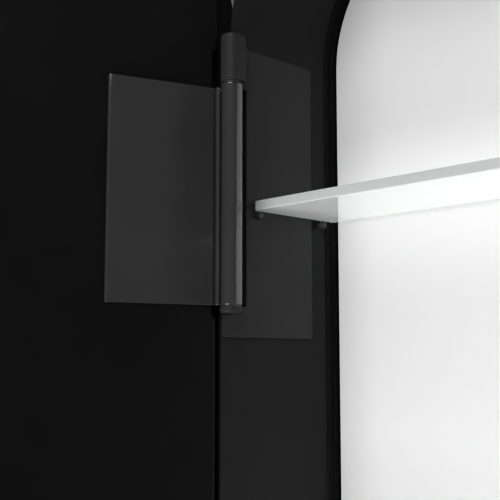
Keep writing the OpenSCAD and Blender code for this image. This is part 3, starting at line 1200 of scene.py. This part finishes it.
@dataclass
class Door:
    """The overlay door. Depths are along Y with the door closed."""

    paint: Paintbox
    case: Case
    turn: DoorTurn
    hinges: list[Hinge]
    corner: float = 75 * MM
    tray_sheet: float = 1.2 * MM
    tray_depth: float = 9.5 * MM
    tray_lap: float = 20 * MM
    tray_start: float = 6.6 * MM
    notch: float = 1.8 * MM
    notch_ends: Pair = (-66 * MM, 71 * MM)
    tray_right: float = 250 * MM
    tray_margin: float = 4 * MM
    tray_corner: float = 64 * MM
    ledge_thick: float = 2.5 * MM
    ledge_width: float = 18 * MM
    frame_width: float = 8 * MM
    mirror_thick: float = 4 * MM
    mirror_recess: float = 1.5 * MM
    gap: float = 0.2 * MM
    bumper: float = 2.8 * MM
    bumper_thick: float = 2.4 * MM
    bumper_at: Pair = (150 * MM, 348 * MM)
    strike_half: Pair = (6.5 * MM, 18 * MM)
    strike_thick: float = 1.3 * MM
    strike_screw_at: float = 14 * MM

    @property
    def face(self) -> float:
        """The depth of the tray's inner face."""
        sizes = self.hinges[0].sizes
        return self.turn.y - sizes.leaf_face - sizes.leaf_thick

    @property
    def frame_back(self) -> float:
        """The depth of the frame's back."""
        return self.face - self.tray_depth

    def tray_outline(self) -> Outline:
        """The tray's outline, moved in beside each hinge.

        On the hinge side every point moves in by the notch's depth times a smooth step
        up at the notch's lower end less a smooth step up at its upper end.

        Returns:
            The outline, with its outward directions left as they were.
        """
        low = (self.turn.x + self.tray_start, -self.case.half_h + self.tray_margin)
        high = (self.tray_right, self.case.half_h - self.tray_margin)
        width = 2.0 * MM
        rise = np.linspace(-width / 2, width / 2, 7)
        ends = np.array([hinge.middle + end for hinge in self.hinges for end in self.notch_ends])
        from_end = high[1] - self.tray_corner - np.abs(ends)
        distances = (from_end[:, None] + rise).ravel()
        outline = with_more_points(rounded_box(low, high, self.tray_corner, 24), distances)
        beside = outline.points[:, 0] < low[0] + 0.1 * MM
        for hinge in self.hinges:
            z = outline.points[:, 1] - hinge.middle
            low_end, high_end = (smooth_step(z - end, width) for end in self.notch_ends)
            outline.points[:, 0] += self.notch * (low_end - high_end) * beside
        return outline

    def tray(self) -> None:
        """The folded tray: a sheet section from the inner face over the fold to its foot."""
        deep, t = self.tray_lap, self.tray_sheet
        corners = [
            (deep, self.face),
            (0.0, self.face),
            (0.0, self.frame_back),
            (t, self.frame_back),
            (t, self.face - t),
            (deep, self.face - t),
        ]
        radii = [0.0, 1.6 * MM, 0.3 * MM, 0.3 * MM, 0.6 * MM, 0.0]
        section = rounded_section(corners, radii, 6, closed=False)
        shell = Shell(self.turn)
        add_carried(shell, self.tray_outline(), section, upright, ring=False)
        self.paint.dress(shell.build("door_tray"), Body.DOOR, "door_pan")

    def ring(self) -> None:
        """The frame: a stepped section with a soft front edge, carried round."""
        back = self.frame_back
        step = back - self.ledge_thick
        front = step - self.mirror_thick - self.mirror_recess
        corners = [
            (0.0, back),
            (0.0, front),
            (self.frame_width, front),
            (self.frame_width, step),
            (self.ledge_width, step),
            (self.ledge_width, back),
        ]
        radii = [0.5 * MM, 1.4 * MM, 0.7 * MM, 0.2 * MM, 0.3 * MM, 0.3 * MM]
        shell = Shell(self.turn)
        outline = self.case.outline(self.corner)
        add_carried(shell, outline, rounded_section(corners, radii), upright)
        # The frame's very dark finish is partly painted shade for the gap behind the hinge edge.
        self.paint.dress(shell.build("door_frame_ring"), Body.DOOR, "door_frame")

    def mirror(self) -> None:
        """The mirror: a rounded pane with a polished edge."""
        whole = self.case.outline(self.corner)
        inner = Outline(whole.moved_in(self.frame_width + self.gap), whole.normals)
        back = self.frame_back - self.ledge_thick - self.gap
        shell = Shell(self.turn)
        add_plate(shell, inner, back - self.mirror_thick, back, 0.8 * MM, upright)
        self.paint.dress(shell.build("door_mirror_pane"), Body.DOOR, "door_mirror")

    def bumpers(self) -> None:
        """Four domed rubber dots on the inner face."""
        profile = rounded_section(
            [
                (0.0, self.face),
                (self.bumper, self.face),
                (0.92 * self.bumper, self.face + self.bumper_thick),
                (0.0, self.face + self.bumper_thick),
            ],
            [0.0, 0.1 * MM, 1.1 * MM, 0.0],
            6,
            closed=False,
            support=0.1 * MM,
        )
        shell = Shell(self.turn)
        for x in (-self.bumper_at[0], self.bumper_at[0]):
            for z in (-self.bumper_at[1], self.bumper_at[1]):
                add_turned(shell, profile, (x, z), upright, 40)
        self.paint.dress(shell.build("door_bumper_dots"), Body.DOOR, "door_bumpers")

    def strike(self) -> None:
        """The strike plate with its two screws, where the magnet meets the closed door."""
        low, high = low_high("catch_body")
        x, z = (low[0] + high[0]) / 2, (low[2] + high[2]) / 2
        (wide, tall), top = self.strike_half, self.face + self.strike_thick
        shell = Shell(self.turn)
        outline = rounded_box((x - wide, z - tall), (x + wide, z + tall), 2.5 * MM, 8)
        add_plate(shell, outline, self.face, top, 0.35 * MM, upright)
        self.paint.dress(shell.build("door_strike"), Body.DOOR, "strike_plate")
        screws = Shell(self.turn)
        for spot in (z - self.strike_screw_at, z + self.strike_screw_at):
            add_screw_head(screws, (x, spot), top, 2.8 * MM, 0.5 * MM, 1.0, upright)
        self.paint.dress(screws.build("door_strike_screws"), Body.DOOR, "strike_screws")

    def build(self) -> None:
        """Builds the door's pieces and dresses the boards inside it."""
        self.tray()
        self.ring()
        self.mirror()
        self.bumpers()
        self.strike()
        for node in ("mirror_backing", "door_core"):
            self.paint.dress_node(node)


# ---------------------------------------------------------------- studio


@dataclass(frozen=True)
class SoftLight:
    """A soft box: where it stands, what it faces, its size and strength.

    Without gloss it lights the surfaces but leaves no highlight on them.
    """

    name: str
    place: Point
    aim: Point
    size: Pair
    watts: float
    gloss: bool = True

    def add(self) -> None:
        """Hangs the light in the scene."""
        lamp = bpy.data.lights.new(self.name, "AREA")
        lamp.shape = "RECTANGLE"
        lamp.size, lamp.size_y = self.size
        lamp.energy = self.watts
        piece = bpy.data.objects.new(self.name, lamp)
        bpy.context.scene.collection.objects.link(piece)
        facing = np.array(self.aim) - np.array(self.place)
        piece.location = self.place
        piece.rotation_euler = look_turn(facing)
        piece.visible_camera = False
        piece.visible_glossy = self.gloss


def look_turn(facing: np.ndarray) -> tuple[float, float, float]:
    """The turn that points a camera or lamp, which looks down its own -Z, along a line."""
    flat = math.hypot(facing[0], facing[1])
    return (math.pi / 2 + math.atan2(facing[2], flat), 0.0, math.atan2(-facing[0], facing[1]))


@dataclass
class Studio:
    """A pale floor, an even soft surround and soft boxes."""

    floor_drop: float = 0.7
    floor_size: float = 14.0
    surround: float = 0.10
    lights: list[SoftLight] = field(
        default_factory=lambda: [
            SoftLight("low_front", (-0.22, -0.7, -0.42), (-0.05, 0.0, 0.05), (0.5, 0.3), 7.4),
            SoftLight("right", (0.35, -0.75, 0.27), (-0.25, -0.1, 0.2), (0.3, 0.2), 1.4, gloss=False),
            SoftLight("high", (-0.02, -0.5, 0.62), (-0.25, -0.1, 0.2), (0.35, 0.25), 1.9),
        ]
    )

    def floor(self) -> None:
        """A pale floor with a faint mottle, below the cabinet."""
        half = self.floor_size / 2
        spots = np.array([(-half, -half), (half, -half), (half, half), (-half, half)])
        height = CAD_BOX[0][2] - self.floor_drop
        shell = Shell()
        shell.lid(np.column_stack([spots, np.full(4, height)]))
        piece = shell.build("floor")
        nodes = Nodes("pale_floor")
        nodes.set(Roughness=0.8, Specular_IOR_Level=0.2)
        mottle = nodes.noise(3.0, 3.0)
        stops = [(0.3, (0.80, 0.80, 0.79)), (0.7, (0.84, 0.84, 0.83))]
        nodes.drive("Base Color", nodes.ramp(mottle, stops))
        piece.data.materials.append(nodes.material)

    def build(self) -> None:
        """Sets up the surround, the floor and the lights."""
        scene = bpy.context.scene
        world = bpy.data.worlds.new("surround")
        world.use_nodes = True
        shade = world.node_tree.nodes["Background"]
        shade.inputs["Color"].default_value = (1.0, 1.0, 1.0, 1.0)
        shade.inputs["Strength"].default_value = self.surround
        scene.world = world
        scene.view_settings.view_transform = "Standard"
        self.floor()
        for light in self.lights:
            light.add()


@dataclass
class Viewpoint:
    """The camera, placed from the front edge of the case wall beside the upper hinge.

    It stands a level distance back along its own heading from that edge, a little to
    one side, below the hinge's middle, and looks up by the tilt.
    """

    case: Case
    hinge: Hinge
    heading: float = 46.12
    tilt: float = 6.91
    distance: float = 450.4 * MM
    aside: float = 14.5 * MM
    below: float = 86.8 * MM
    lens: float = 64.8

    def build(self) -> None:
        """Makes the camera and gives it to the scene."""
        turn, tilt = math.radians(self.heading), math.radians(self.tilt)
        ahead = np.array([-math.sin(turn), math.cos(turn), 0.0])
        right = np.array([math.cos(turn), math.sin(turn), 0.0])
        edge = np.array([-self.case.half_w + self.case.sheet, -self.case.depth, self.hinge.middle])
        data = bpy.data.cameras.new("camera")
        data.sensor_width = 36.0
        data.lens = self.lens
        data.clip_start = 0.01
        camera = bpy.data.objects.new("camera", data)
        bpy.context.scene.collection.objects.link(camera)
        camera.location = edge - self.distance * ahead + self.aside * right - (0.0, 0.0, self.below)
        camera.rotation_euler = look_turn(ahead * math.cos(tilt) + np.array([0.0, 0.0, math.sin(tilt)]))
        bpy.context.scene.camera = camera


def main() -> None:
    """Builds the cabinet, the studio and the camera, in that order."""
    logging.basicConfig(level=logging.INFO, format="%(name)s: %(message)s")
    paint = Paintbox()
    swing = joint_named("door_swing")
    turn = DoorTurn(swing["pos_m"][0], swing["pos_m"][1], -swing["range_deg"][0])
    case = Case(paint)
    case.build()
    hinges = []
    for tag in ("upper", "lower"):
        low, _ = low_high("hinge_wall_leaf_" + tag)
        hinges.append(Hinge(paint, turn, tag, low[2] + HingeSizes().wall_leaf_half))
        hinges[-1].build()
    HingeFittings(paint, hinges).build()
    for body in (Body.SHELF_UPPER, Body.SHELF_MIDDLE, Body.SHELF_LOWER):
        Shelf(paint, body).build()
    Catch(paint).build()
    Door(paint, case, turn, hinges).build()
    Studio().build()
    Viewpoint(case, hinges[0]).build()


if __name__ == "__main__":
    main()
